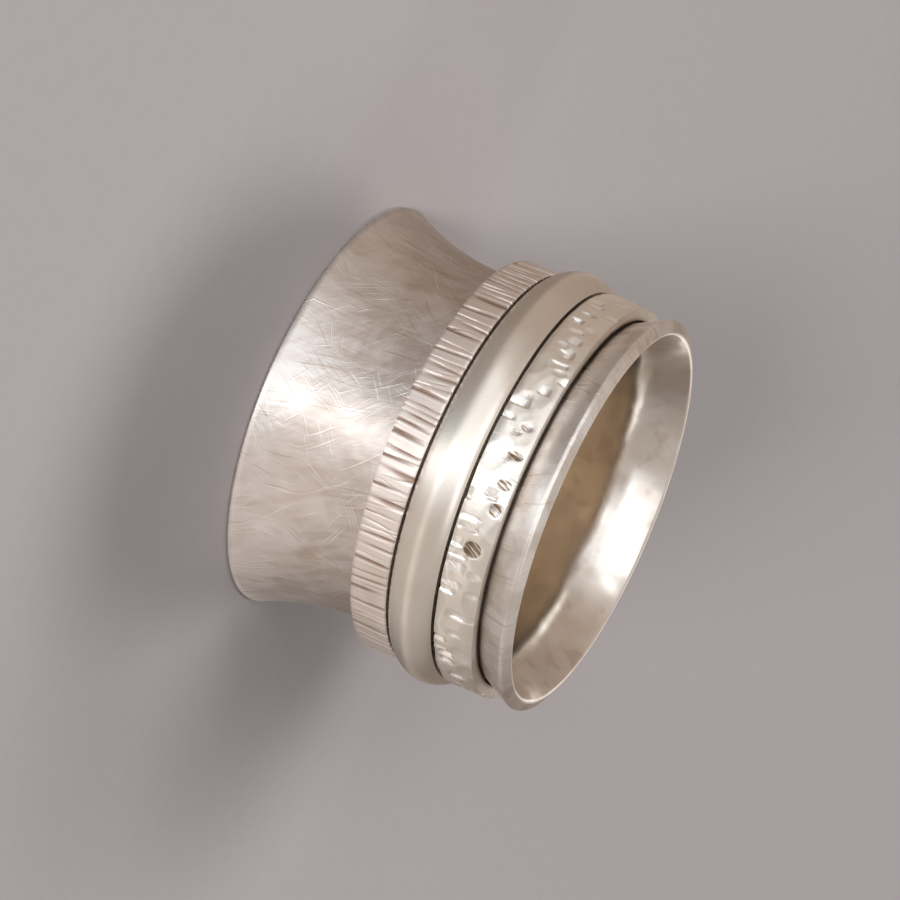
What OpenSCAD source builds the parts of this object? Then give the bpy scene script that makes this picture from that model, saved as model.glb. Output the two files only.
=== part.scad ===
// Wide spinner ring: a flared base band that carries three loose bands between its two rims.
// The ring lies on its wide rim. The origin is the centre of that rim, and +Z is the ring's axis.
// Lengths are in millimetres and angles in degrees.

/* [Base band] */
// Bore across the straight middle stretch, where the finger goes
finger_bore_d = 18.1; // [15.5:0.1:22]
// Thickness of the base band's sheet
wall = 0.8; // [0.7:0.05:1]
// Height of the wide flare, from its rim up to the straight seat
wide_flare_h = 6.3; // [5:0.1:8]
// Radius of the wide flare's hollow curve
wide_arc_r = 14; // [12:0.2:18]
// Plain seat left bare between the wide flare and the bark band
bare_seat_h = 0.9; // [0.5:0.1:2]
// Radius of the short flare's hollow curve
short_arc_r = 2.6; // [2:0.1:4]
// Angle that the short flare leans outwards
short_flare_angle = 27; // [20:1:35]
// Length of the short flare's straight slope, measured along its outside
short_slope_l = 1.9; // [1:0.1:3]
// Rounding of both rims' edges
rim_edge_r = 0.2; // [0.1:0.05:0.3]

/* [Loose bands] */
// Radial play between the seat and each loose band
band_play = 0.4; // [0.3:0.05:0.5]
// Gap between one loose band and the next
side_gap = 0.17; // [0.12:0.01:0.3]
// Least gap between the hammered band's inner corner and the short flare's root
root_gap = 0.12; // [0.1:0.01:0.2]

/* [Bark band] */
// Width of the bark band
bark_w = 2.05; // [1.6:0.05:3]
// Thickness of the bark band at its ridges
bark_t = 0.72; // [0.6:0.02:1]
// Number of chiselled grooves round the bark band
bark_grooves = 132; // [90:1:140]
// Deepest groove of the bark band
bark_groove_depth = 0.13; // [0.06:0.01:0.18]

/* [Domed band] */
// Width of the domed band
dome_w = 2.45; // [2:0.05:3]
// Thickness of the domed band at its crown
dome_t = 1.3; // [1.1:0.05:1.6]
// Thickness of the domed band at its two sides
dome_side_t = 0.7; // [0.4:0.05:0.8]

/* [Hammered band] */
// Width of the hammered band
hammered_w = 2.15; // [1.8:0.05:3]
// Thickness of the hammered band between its dents
hammered_t = 0.75; // [0.6:0.05:1]
// How far the hammered band's outer edges are rounded down
hammered_edge_drop = 0.07; // [0.05:0.01:0.2]
// Number of broad hammer facets round the hammered band
hammer_facets = 84; // [40:1:120]
// Deepest broad hammer facet
facet_depth = 0.07; // [0.03:0.01:0.1]
// Deepest small oval punch mark
punch_depth = 0.1; // [0.04:0.01:0.12]

/* [Hidden] */
$fn = 180;

// Radii, worked out from the bore
bore_r = finger_bore_d / 2;
seat_r = bore_r + wall;
band_bore_r = seat_r + band_play;
bark_r = band_bore_r + bark_t;
dome_r = band_bore_r + dome_t;
dome_side_r = band_bore_r + dome_side_t;
hammered_r = band_bore_r + hammered_t;

// Heights above the wide rim, each from the one below it
bark_z = wide_flare_h + bare_seat_h;
dome_z = bark_z + bark_w + side_gap;
hammered_z = dome_z + dome_w + side_gap;
bands_top_z = hammered_z + hammered_w;

// The short flare's curve starts under the hammered band, as early as the root gap lets it
root_rise = band_play - root_gap;
root_lap = sqrt(2 * short_arc_r * root_rise - root_rise * root_rise);
short_flare_z = bands_top_z - root_lap;

// Centres of the two flare curves, as [radius, height]
wide_arc_c = [seat_r + wide_arc_r, wide_flare_h];
short_arc_c = [seat_r + short_arc_r, short_flare_z];

// Where the wide rim's flat edge ends, on the outer and the inner side of its wall
rim_reach_h = wide_flare_h - rim_edge_r;
wide_rim_out_r = wide_arc_c.x - sqrt(wide_arc_r * wide_arc_r - rim_reach_h * rim_reach_h);
inner_arc_r = wide_arc_r + wall;
wide_rim_in_r = wide_arc_c.x - sqrt(inner_arc_r * inner_arc_r - rim_reach_h * rim_reach_h);

// How far a cutter runs past what it cuts
past = 1;

// Repeatable scatter: a number from 0 to 1 for each index and seed
scatter_step = 127.1;
scatter_seed_step = 311.7;
scatter_gain = 43758.5453;
function scatter(i, seed) =
    let (v = sin(i * scatter_step + seed * scatter_seed_step) * scatter_gain)
    v - floor(v);

// Seeds, one for each thing that varies
groove_w_seed = 1;
ridge_lean_seed = 2;
groove_run_seed = 3;
facet_angle_seed = 4;
facet_place_seed = 5;
facet_length_seed = 6;
facet_width_seed = 7;
facet_depth_seed = 8;

// Value at a share of the way through a range
function between(range, share) = range[0] + (range[1] - range[0]) * share;

// Running total of a list, starting with 0
function running_total(list) =
    [for (i = 0, sum = 0; i <= len(list); sum = sum + (i < len(list) ? list[i] : 0), i = i + 1) sum];

// Point of a skin at an angle, a radius and a height
function skin_point(a, r, z) = [r * cos(a), r * sin(a), z];

// Faces of a closed skin: columns run round it and rows run up it. Each flat end is a fan
// about its own centre, which are the two points after the skin's
function skin_faces(columns, rows) = concat(
    [for (j = [0:rows - 2], i = [0:columns - 1])
        let (n = (i + 1) % columns)
        [j * columns + i, (j + 1) * columns + i, j * columns + n]],
    [for (j = [0:rows - 2], i = [0:columns - 1])
        let (n = (i + 1) % columns)
        [j * columns + n, (j + 1) * columns + i, (j + 1) * columns + n]],
    [for (i = [0:columns - 1])
        [rows * columns, i, (i + 1) % columns]],
    [for (i = [0:columns - 1])
        [rows * columns + 1, (rows - 1) * columns + (i + 1) % columns, (rows - 1) * columns + i]]
);

// A loose band whose outer face is the given skin, drilled to its true round bore
module skinned_band(points, columns, rows, w) {
    end_centres = [[0, 0, 0], [0, 0, w]];
    difference() {
        polyhedron(concat(points, end_centres), skin_faces(columns, rows), convexity = 4);
        translate([0, 0, -past]) cylinder(r = band_bore_r, h = w + 2 * past);
    }
}

// BASE BAND

// Strip of sheet standing along +Y with its far end's two corners rounded
module rounded_strip(l, w, edge_r) {
    square([w, l - edge_r]);
    translate([edge_r, 0]) square([w - 2 * edge_r, l]);
    for (x = [edge_r, w - edge_r]) translate([x, l - edge_r]) circle(edge_r);
}

// Flat edge that the ring lies on, with its two corners rounded
module flat_rim_section() {
    w = wide_rim_out_r - wide_rim_in_r;
    translate([wide_rim_in_r, 0]) {
        translate([rim_edge_r, 0]) square([w - 2 * rim_edge_r, 2 * rim_edge_r]);
        intersection() {
            square([w, rim_edge_r]);
            for (x = [rim_edge_r, w - rim_edge_r]) translate([x, rim_edge_r]) circle(rim_edge_r);
        }
    }
}

// Section of the wide flare: a hollow curve of even thickness
module wide_flare_section() {
    intersection() {
        translate([bore_r - past, rim_edge_r])
            square([wide_arc_c.x - bore_r, rim_reach_h]);
        translate(wide_arc_c) difference() {
            circle(inner_arc_r, $fn = 360);
            circle(wide_arc_r, $fn = 360);
        }
    }
}

// Section of the straight seat between the two flares
module seat_section() {
    polygon([
        [bore_r, wide_flare_h],
        [seat_r, wide_flare_h],
        [seat_r, short_flare_z],
        [bore_r, short_flare_z]
    ]);
}

// Section of the short flare: tight hollow curve, then a straight slope with a rounded edge
module short_flare_section() {
    reach = short_arc_r + wall + past;
    intersection() {
        translate(short_arc_c) difference() {
            circle(short_arc_r + wall);
            circle(short_arc_r);
        }
        translate(short_arc_c)
            polygon([[0, 0], [-reach, 0], [-reach, reach * tan(short_flare_angle)]]);
    }
    translate(short_arc_c) rotate(-short_flare_angle) translate([-short_arc_r - wall, 0])
        rounded_strip(short_slope_l, wall, rim_edge_r);
}

// One piece of sheet: wide flare, straight seat and short flare
module base_band() {
    color("#c9bfb8") rotate_extrude() {
        flat_rim_section();
        wide_flare_section();
        seat_section();
        short_flare_section();
    }
}

// BARK BAND

// Relative width of each groove, from narrow lines to broad gouges; most are narrow
groove_w_range = [0.45, 1.7];
function groove_share(k) = between(groove_w_range, pow(scatter(k, groove_w_seed), 2));
groove_shares = [for (k = [0:bark_grooves - 1]) groove_share(k)];
groove_sum = running_total(groove_shares);
share_angle = 360 / groove_sum[bark_grooves];

// Lean of the ridge before each groove, in degrees of turn across the band's width
ridge_lean_max = 1.1;
function ridge_lean(k) = ridge_lean_max * (2 * scatter(k % bark_grooves, ridge_lean_seed) - 1);

// Angle of the ridge before groove k, at a share of the band's width
function ridge_angle(k, across) = groove_sum[k] * share_angle + ridge_lean(k) * (across - 0.5);

// Depth of groove k at a share of the band's width: broad grooves are cut deepest, and each
// groove is deepest at its own place across the band
full_depth_share = 1.3;
narrow_depth_range = [0.35, 1];
run_depth_range = [0.2, 1];
function groove_depth(k, across) =
    let (
        broad = min(1, groove_shares[k] / full_depth_share),
        run = 0.5 + 0.5 * cos(180 * (across - scatter(k, groove_run_seed)))
    )
    bark_groove_depth * between(narrow_depth_range, broad) * between(run_depth_range, run);

// Section across one groove, as [share of its width, share of its depth]
groove_section = [[0, 0], [0.26, 0.78], [0.5, 1], [0.76, 0.72]];

// Shares of the band's width where the skin has a row, and how far the edge rows are worn down
bark_rows = [0, 0.07, 0.5, 0.93, 1];
bark_edge_wear = 0.05;
function bark_wear(across) = across == 0 || across == 1 ? bark_edge_wear : 0;

function bark_point(k, s, across) =
    let (
        a0 = ridge_angle(k, across),
        a1 = ridge_angle(k + 1, across),
        r = bark_r - bark_wear(across) - groove_depth(k, across) * s[1]
    )
    skin_point(a0 + (a1 - a0) * s[0], r, across * bark_w);

module bark_band() {
    points = [for (across = bark_rows, k = [0:bark_grooves - 1], s = groove_section)
        bark_point(k, s, across)];
    color("#cdbdb6") translate([0, 0, bark_z])
        skinned_band(points, bark_grooves * len(groove_section), len(bark_rows), bark_w);
}

// DOMED BAND

// Half-round wire: a flat bore, two short straight sides and one round crown
module domed_band() {
    rise = dome_r - dome_side_r;
    crown_r = (dome_w * dome_w / 4 + rise * rise) / (2 * rise);
    color("#cfc5b4") translate([0, 0, dome_z]) rotate_extrude() {
        // Keeps the bore its full width where a tall crown's circle would draw in below its sides
        translate([band_bore_r, 0]) square([dome_side_t / 2, dome_w]);
        intersection() {
            translate([dome_r - crown_r, dome_w / 2]) circle(crown_r);
            translate([band_bore_r, 0]) square([dome_t, dome_w]);
        }
    }
}

// HAMMERED BAND

// Broad facets, scattered round the band and across its width. Each strays from its even
// place by up to a share of the spacing; the ranges are its half length and half width in
// millimetres, and its depth as a share of facet_depth
facet_stray = 0.8;
facet_half_l_range = [0.65, 1.1];
facet_half_w_range = [0.5, 0.8];
facet_share_range = [0.45, 1];
function facet(k) = [
    360 * (k + facet_stray * scatter(k, facet_angle_seed)) / hammer_facets,
    scatter(k, facet_place_seed),
    between(facet_half_l_range, scatter(k, facet_length_seed)),
    between(facet_half_w_range, scatter(k, facet_width_seed)),
    facet_depth * between(facet_share_range, scatter(k, facet_depth_seed))
];

// Oval punch marks beside the short flare, set by hand where they show. The columns are
// [angle, place across the band, half length round the band, half width, share of punch_depth]
punch_marks = [
    [-147, 0.40, 0.24, 0.36, 0.7],
    [-140, 0.66, 0.26, 0.40, 0.6],
    [-131, 0.38, 0.24, 0.36, 0.7],
    [-122, 0.72, 0.28, 0.46, 0.8],
    [-112, 0.34, 0.32, 0.36, 0.6],
    [-104, 0.68, 0.26, 0.40, 0.7],
    [-96, 0.72, 0.28, 0.52, 1.0],
    [-88, 0.77, 0.30, 0.44, 0.9],
    [-81, 0.78, 0.40, 0.36, 1.0],
    [-69, 0.56, 0.52, 0.56, 1.0],
    [-62, 0.78, 0.26, 0.44, 0.8],
    [-56, 0.80, 0.24, 0.38, 0.7]
];
// The same run of marks is struck again on the two thirds of the band that face away
punch_runs = 3;
punch_turn = 360 / punch_runs;

hammer_marks = concat(
    [for (k = [0:hammer_facets - 1]) facet(k)],
    [for (run = [0:punch_runs - 1], m = punch_marks)
        [m[0] + run * punch_turn, m[1], m[2], m[3], m[4] * punch_depth]]
);

// Distance round the band from a mark, in millimetres, the short way
function round_gap(a, mark_a) =
    let (turn = (a - mark_a) / 360)
    (turn - round(turn)) * 2 * PI * hammered_r;

// Depth of one mark at a point: a shallow bowl
function mark_depth(m, a, across) =
    let (u = round_gap(a, m[0]) / m[2], v = (across - m[1]) * hammered_w / m[3])
    m[4] * max(0, 1 - u * u - v * v);

// Roundness of the outer edges: nothing in the middle, the full drop at both edges. A higher
// power keeps more of the band's width flat
edge_power = 6;
function edge_drop(across) = hammered_edge_drop * pow(abs(2 * across - 1), edge_power);

hammered_rows = [0, 0.06, 0.18, 0.34, 0.5, 0.66, 0.82, 0.94, 1];
hammered_columns = 240;

module hammered_band() {
    points = [for (across = hammered_rows, i = [0:hammered_columns - 1])
        let (a = 360 * i / hammered_columns, cut = max([for (m = hammer_marks) mark_depth(m, a, across)]))
        skin_point(a, hammered_r - edge_drop(across) - cut, across * hammered_w)];
    color("#d3cdbf") translate([0, 0, hammered_z])
        skinned_band(points, hammered_columns, len(hammered_rows), hammered_w);
}

base_band();
bark_band();
domed_band();
hammered_band();
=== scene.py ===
"""Looks of a wide silver spinner ring: a flared base band that carries three loose bands.

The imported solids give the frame. Each band is made again with its full relief and finish,
rides on its own body and stands for its solid. Sizes are in metres, angles in radians.
"""
import math

import bmesh
import bpy
import numpy as np
from mathutils import Matrix, Vector


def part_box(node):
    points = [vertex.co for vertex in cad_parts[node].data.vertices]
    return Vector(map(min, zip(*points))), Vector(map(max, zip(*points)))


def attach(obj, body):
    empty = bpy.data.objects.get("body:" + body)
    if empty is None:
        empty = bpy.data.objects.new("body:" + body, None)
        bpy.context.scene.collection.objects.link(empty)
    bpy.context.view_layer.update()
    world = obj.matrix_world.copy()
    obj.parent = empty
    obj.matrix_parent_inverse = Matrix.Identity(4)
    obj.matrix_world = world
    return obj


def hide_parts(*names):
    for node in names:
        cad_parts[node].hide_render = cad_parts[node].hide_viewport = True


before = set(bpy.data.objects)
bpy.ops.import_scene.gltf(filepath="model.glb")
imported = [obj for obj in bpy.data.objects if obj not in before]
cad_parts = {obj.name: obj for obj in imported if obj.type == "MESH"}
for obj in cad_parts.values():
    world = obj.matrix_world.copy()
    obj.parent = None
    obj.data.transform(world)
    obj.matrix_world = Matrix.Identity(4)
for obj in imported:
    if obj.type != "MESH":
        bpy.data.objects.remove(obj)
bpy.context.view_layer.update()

bl_info = {
    "name": "Spinner ring",
    "version": (1, 0, 0),
    "blender": (4, 5, 0),
    "location": "3D View > Sidebar > Spinner ring",
    "description": "Builds a silver spinner ring, its finishes and its studio",
    "category": "Object",
}

MM = 0.001
BARK_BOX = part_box("bark_band")
DOMED_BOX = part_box("domed_band")
HAMMERED_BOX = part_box("hammered_band")
BASE_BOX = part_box("base_band")


# Sizes and colours that a user would change

def length(name, about, default):
    return bpy.props.FloatProperty(
        name=name, description=about, default=default, min=0, precision=5,
        subtype="DISTANCE", unit="LENGTH")


def colour(name, about, default):
    return bpy.props.FloatVectorProperty(
        name=name, description=about, default=default, size=3, min=0, max=1, subtype="COLOR")


def share(name, about, default):
    return bpy.props.FloatProperty(
        name=name, description=about, default=default, min=0, max=1, subtype="FACTOR")


class RingSizes(bpy.types.PropertyGroup):
    bore_r: length("Bore radius", "Inside radius where the finger goes", 9.05 * MM)
    wall: length("Sheet thickness", "Thickness of the base band's sheet", 0.8 * MM)
    wide_flare_h: length("Wide flare height", "From the wide rim up to the straight seat", 6.3 * MM)
    wide_arc_r: length("Wide flare curve", "Radius of the wide flare's hollow curve", 14 * MM)
    short_arc_r: length("Short flare curve", "Radius of the short flare's hollow curve", 2.6 * MM)
    short_flare_angle: bpy.props.FloatProperty(
        name="Short flare lean", description="Angle that the short flare leans outwards",
        default=math.radians(27), subtype="ANGLE", unit="ROTATION")
    short_slope_l: length("Short slope", "Length of the short flare's straight slope", 1.9 * MM)
    rim_edge_r: length("Rim rounding", "Rounding of both rims' edges", 0.2 * MM)
    root_gap: length("Root gap", "Gap between the hammered band and the short flare's root", 0.12 * MM)
    band_play: length("Band play", "Radial play between the seat and the loose bands", 0.4 * MM)
    band_edge_r: length("Band edge rounding", "Small rounding of the loose bands' bore edges", 0.05 * MM)
    dome_side_t: length("Domed band side", "Thickness of the domed band at its sides", 0.7 * MM)
    bark_t: length("Bark band thickness", "Thickness of the bark band at its ridges", 0.72 * MM)
    bark_grooves: bpy.props.IntProperty(
        name="Bark grooves", description="Chiselled grooves round the bark band", default=132, min=12)
    bark_groove_depth: length("Bark groove depth", "Deepest groove of the bark band", 0.13 * MM)
    hammered_t: length("Hammered band thickness", "Thickness of that band between its marks", 0.75 * MM)
    hammer_facets: bpy.props.IntProperty(
        name="Hammer facets", description="Broad facets round the hammered band", default=84, min=6)
    hammer_chips: bpy.props.IntProperty(
        name="Hammer chips", description="Small bright chips round the hammered band", default=90, min=0)
    facet_depth: length("Facet depth", "Deepest broad hammer facet", 0.07 * MM)
    punch_depth: length("Punch depth", "Deepest oval punch mark", 0.1 * MM)
    hammered_edge_drop: length("Hammered edge drop", "How far that band's edges are rounded", 0.07 * MM)


class RingFinishes(bpy.types.PropertyGroup):
    scratched: colour("Scratched silver", "Scratch-brushed outside of the base band", (0.81, 0.765, 0.75))
    polished: colour("Polished silver", "Polished inside of the base band", (0.88, 0.85, 0.81))
    bark: colour("Bark silver", "Ridges of the bark band", (0.96, 0.89, 0.85))
    bark_valley: colour("Bark valleys", "Bottoms of the bark band's grooves", (0.44, 0.33, 0.28))
    satin: colour("Satin silver", "Domed band", (0.88, 0.84, 0.78))
    hammered: colour("Hammered silver", "Hammered band", (0.95, 0.925, 0.87))
    # Brown of the painted dark reflections in some punch marks
    painted_dark_reflection: colour("Tarnish", "Old tarnish in some punch marks", (0.27, 0.19, 0.13))
    # Brown of worn patches, and also of the painted shade in recesses and towards the seat
    warm_shade: colour("Warm shade", "Brown tint in recesses and worn patches", (0.50, 0.40, 0.32))
    scratched_roughness: share("Scratched roughness", "Roughness of the scratched outside", 0.30)
    polished_roughness: share("Polished roughness", "Roughness of the polished inside", 0.19)
    satin_roughness: share("Satin roughness", "Roughness of the domed band", 0.27)
    hammered_roughness: share("Hammered roughness", "Roughness of the hammered band", 0.28)
    bark_roughness: share("Bark roughness", "Roughness of the bark band", 0.42)


class StudioSettings(bpy.types.PropertyGroup):
    floor: colour("Floor", "Plain pale floor", (0.60, 0.55, 0.55))
    surround: colour("Surround", "Even light all round", (0.01, 0.01, 0.01))
    bore_glow: colour("Bore glow", "Warm light from the floor inside the ring", (0.60, 0.43, 0.27))
    tent_r: length("Tent radius", "Radius of the soft light tent round the ring", 30 * MM)
    tent_h: length("Tent height", "Height of the soft light tent", 76 * MM)
    lens: bpy.props.FloatProperty(
        name="Lens", description="Focal length in millimetres", default=131.82, min=1, unit="CAMERA")


def sizes():
    return bpy.context.scene.ring_sizes


def finishes():
    return bpy.context.scene.ring_finishes


def studio():
    return bpy.context.scene.ring_studio


# Mesh helpers

def arc(centre, radius, start_deg, end_deg, steps):
    """Points of an arc in the ring's section, as (radius, height)."""
    return [
        (centre[0] + radius * math.cos(math.radians(a)), centre[1] + radius * math.sin(math.radians(a)))
        for a in np.linspace(start_deg, end_deg, steps + 1)
    ]


def spaced(a, b, steps):
    """Points on a straight line from a to b, without its two ends."""
    return [(a[0] + (b[0] - a[0]) * i / steps, a[1] + (b[1] - a[1]) * i / steps) for i in range(1, steps)]


# A turned piece is made of this many equal sectors, whose points join within this distance
SECTORS, JOIN_GAP = 24, 1e-7


def swept(line, closed, angle, steps):
    """A line of (radius, height) points, spun about the ring's axis. A full turn meets its start."""
    bm = bmesh.new()
    verts = [bm.verts.new((r, 0, z)) for r, z in line]
    ends = verts[1:] + verts[:1] if closed else verts[1:]
    bmesh.ops.spin(
        bm, geom=verts + [bm.edges.new(pair) for pair in zip(verts, ends)], cent=(0, 0, 0),
        axis=(0, 0, 1), dvec=(0, 0, 0), angle=angle, steps=steps, use_merge=angle == math.tau,
        use_normal_flip=False, use_duplicate=False)
    return bm


def spun(section, steps):
    """A closed section, turned a full round about the ring's axis: one sector, then its copies."""
    bm = swept(section, True, math.tau / SECTORS, steps // SECTORS)
    sector = bm.verts[:] + bm.edges[:] + bm.faces[:]
    for i in range(1, SECTORS):
        copy = bmesh.ops.duplicate(bm, geom=sector)["geom"]
        bmesh.ops.rotate(
            bm, verts=[g for g in copy if isinstance(g, bmesh.types.BMVert)], cent=(0, 0, 0),
            matrix=Matrix.Rotation(math.tau * i / SECTORS, 3, "Z"))
    bmesh.ops.remove_doubles(bm, verts=bm.verts[:], dist=JOIN_GAP)
    bmesh.ops.recalc_face_normals(bm, faces=bm.faces[:])
    return bm


def turned(bm):
    """Angle, radius and height of every vertex, as arrays."""
    at = np.array([v.co[:] for v in bm.verts], float)
    return np.arctan2(at[:, 1], at[:, 0]), np.hypot(at[:, 0], at[:, 1]), at[:, 2]


def set_turned(bm, angle, radius, height):
    for v, a, r, z in zip(bm.verts, angle, radius, height):
        v.co = (r * math.cos(a), r * math.sin(a), z)


def new_object(name, bm, materials):
    """Turns the bmesh into a smooth object of the scene."""
    mesh = bpy.data.meshes.new(name)
    bm.to_mesh(mesh)
    bm.free()
    for material in materials:
        mesh.materials.append(material)
    mesh.shade_smooth()
    made = bpy.data.objects.new(name, mesh)
    bpy.context.scene.collection.objects.link(made)
    return made


def finish_piece(name, bm, materials, node, body, sharp_deg=38, attributes=None):
    """Turns the bmesh into a piece that rides on its body and stands for its CAD node."""
    piece = new_object(name, bm, materials)
    for key, values in (attributes or {}).items():
        attribute = piece.data.attributes.new(key, "FLOAT", "POINT")
        attribute.data.foreach_set("value", np.asarray(values, np.float32))
    piece.data.set_sharp_from_angle(angle=math.radians(sharp_deg))
    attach(piece, body)
    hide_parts(node)


# Repeatable scatter, the same as in the part's source

SCATTER_STEP, SCATTER_SEED_STEP, SCATTER_GAIN = 127.1, 311.7, 43758.5453
# A seed for each kind of scattered value, and the first of five for a facet's and a chip's
GROOVE_WIDTH, RIDGE_LEAN, GROOVE_RUN, FACET_SEED, CHIP_SEED, CHIP_SIDE = 1, 2, 3, 4, 9, 14


def scatter(i, seed):
    value = math.sin(math.radians(i * SCATTER_STEP + seed * SCATTER_SEED_STEP)) * SCATTER_GAIN
    return value - math.floor(value)


def between(span, part):
    """The value at a share of the way from the low to the high end of a range."""
    return span[0] + (span[1] - span[0]) * part


# Node helpers

class Nodes:
    """Short way to add nodes to a tree and join them."""

    def __init__(self, tree):
        self.tree = tree

    def add(self, kind, *inputs, named=None, **settings):
        made = self.tree.nodes.new(kind)
        for key, value in settings.items():
            setattr(made, key, value)
        for i, value in enumerate(inputs):
            self.put(made.inputs[i], value)
        for key, value in (named or {}).items():
            self.put(made.inputs[key], value)
        return made

    def put(self, socket, value):
        if value is None:
            return
        if isinstance(value, bpy.types.NodeSocket):
            self.tree.links.new(value, socket)
        else:
            socket.default_value = value

    def math(self, operation, *inputs, clamp=False):
        return self.add("ShaderNodeMath", *inputs, operation=operation, use_clamp=clamp).outputs[0]

    def vector(self, operation, *inputs):
        return self.add("ShaderNodeVectorMath", *inputs, operation=operation).outputs[0]

    def ramp(self, value, low, high, to_low=0.0, to_high=1.0, smooth=True):
        return self.add(
            "ShaderNodeMapRange", value, low, high, to_low, to_high,
            interpolation_type="SMOOTHSTEP" if smooth else "LINEAR").outputs[0]

    def noise(self, vector, scale, detail=2.0):
        return self.add(
            "ShaderNodeTexNoise", named={"Vector": vector, "Scale": scale, "Detail": detail}).outputs["Fac"]

    def times(self, a, b, clamp=False):
        return self.math("MULTIPLY", a, b, clamp=clamp)

    def joined(self, x=0.0, y=0.0, z=0.0):
        return self.add("ShaderNodeCombineXYZ", x, y, z).outputs[0]

    def parted(self, vector):
        """The x, y and z of a vector."""
        return self.add("ShaderNodeSeparateXYZ", vector).outputs

    def mix(self, factor, a, b):
        made = self.add("ShaderNodeMix", factor, data_type="RGBA")
        self.put(made.inputs[6], a)
        self.put(made.inputs[7], b)
        return made.outputs[2]

    def total(self, *layers):
        """Sum of layers, each as (value, share) or (value, share, mask)."""
        out = None
        for value, part, *mask in layers:
            value = self.times(value, part)
            for m in mask:
                value = self.times(value, m)
            out = value if out is None else self.math("ADD", out, value)
        return out


def emptied(made):
    """A new material or world, ready for its own nodes."""
    made.use_nodes = True
    made.node_tree.nodes.clear()
    return made


def new_group(name, values, results):
    """A node group that takes a vector and named values with their defaults, and gives values."""
    tree = bpy.data.node_groups.new(name, "ShaderNodeTree")
    new_socket = tree.interface.new_socket
    new_socket("Vector", in_out="INPUT", socket_type="NodeSocketVector")
    for key, default in values.items():
        new_socket(key, in_out="INPUT", socket_type="NodeSocketFloat").default_value = default
    for key in results:
        new_socket(key, in_out="OUTPUT", socket_type="NodeSocketFloat")
    return tree, tree.nodes.new("NodeGroupInput").outputs, tree.nodes.new("NodeGroupOutput").inputs


# Radius where the ring's angle is turned into a length round it
WINDING_R = 10.5 * MM
# How often a scratch's wander turns, the share of a hair that is at full depth, and the faintest hair
DRIFTS_PER_METRE, HAIR_CORE, FAINTEST_HAIR = 260.0, 0.3, 0.3


def scratch_group():
    """Hairs and grain that wind round the ring at a slant and never meet a seam.

    The ring's angle is turned by height times Twist, so a line of constant turned angle is a
    slanted line on the metal. Cells stretched along it give separate tapered hairs, and noise
    stretched along it gives an even grain."""
    if "hand scratches" in bpy.data.node_groups:
        return bpy.data.node_groups["hand scratches"]
    tree, given, out = new_group(
        "hand scratches",
        {"Twist": 50.0, "Lines per Metre": 9000.0, "Runs per Metre": 150.0, "Wander": 0.1,
         "Share": 0.35, "Width": 0.3, "Seed": 0.0},
        ("Hairs", "Grain"))
    n = Nodes(tree)
    vector, twist = given["Vector"], given["Twist"]
    x, y, z = n.parted(vector)
    shift = n.joined(given["Seed"])
    drift = n.math("SUBTRACT", n.noise(n.vector("ADD", vector, shift), DRIFTS_PER_METRE, 1.0), 0.5)
    turn = n.math("ADD", n.times(z, twist), n.times(drift, given["Wander"]))
    wound = n.add(
        "ShaderNodeVectorRotate", rotation_type="Z_AXIS",
        named={"Vector": n.vector("NORMALIZE", n.joined(x, y)), "Angle": turn}).outputs[0]
    # A steeper slant would thin and lengthen the hairs, so both are set back by its slope
    slope = n.times(twist, WINDING_R)
    slant = n.math("SQRT", n.math("ADD", n.times(slope, slope), 1.0))
    across = n.times(n.math("DIVIDE", given["Lines per Metre"], slant), WINDING_R)
    lines = n.add("ShaderNodeVectorMath", wound, operation="SCALE", named={"Scale": across}).outputs[0]
    along = n.math("ADD", n.times(z, n.times(given["Runs per Metre"], slant)), given["Seed"])
    place = n.vector("ADD", lines, n.joined(z=along))
    cells = n.add("ShaderNodeTexVoronoi", named={"Vector": place, "Scale": 1.0})
    chance = n.add("ShaderNodeSeparateColor", cells.outputs["Color"])
    width = given["Width"]
    hair = n.ramp(cells.outputs["Distance"], n.times(width, HAIR_CORE), width, 1.0, 0.0)
    struck = n.math("LESS_THAN", chance.outputs["Red"], given["Share"])
    strength = n.ramp(chance.outputs["Green"], 0.0, 1.0, FAINTEST_HAIR, 1.0, smooth=False)
    n.put(out["Hairs"], n.times(hair, n.times(struck, strength)))
    n.put(out["Grain"], n.noise(place, 1.0, 1.0))
    return tree


def patch_group():
    """Broad soft patches, for handling wear and a warm tint that comes and goes."""
    if "soft patches" in bpy.data.node_groups:
        return bpy.data.node_groups["soft patches"]
    tree, given, out = new_group(
        "soft patches", {"Patches per Metre": 300.0, "Low": 0.4, "High": 0.65, "Seed": 0.0}, ("Patches",))
    n = Nodes(tree)
    shifted = n.vector("ADD", given["Vector"], n.joined(given["Seed"], given["Seed"]))
    value = n.noise(shifted, given["Patches per Metre"], 2.0)
    n.put(out["Patches"], n.ramp(value, given["Low"], given["High"]))
    return tree


def rgb(c):
    return (c[0], c[1], c[2], 1.0)


def toward(c, other, part):
    """A colour part of the way to another."""
    return rgb([a + (b - a) * part for a, b in zip(c, other)])


WHITE, BLACK = (1.0, 1.0, 1.0), (0.0, 0.0, 0.0)


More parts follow.
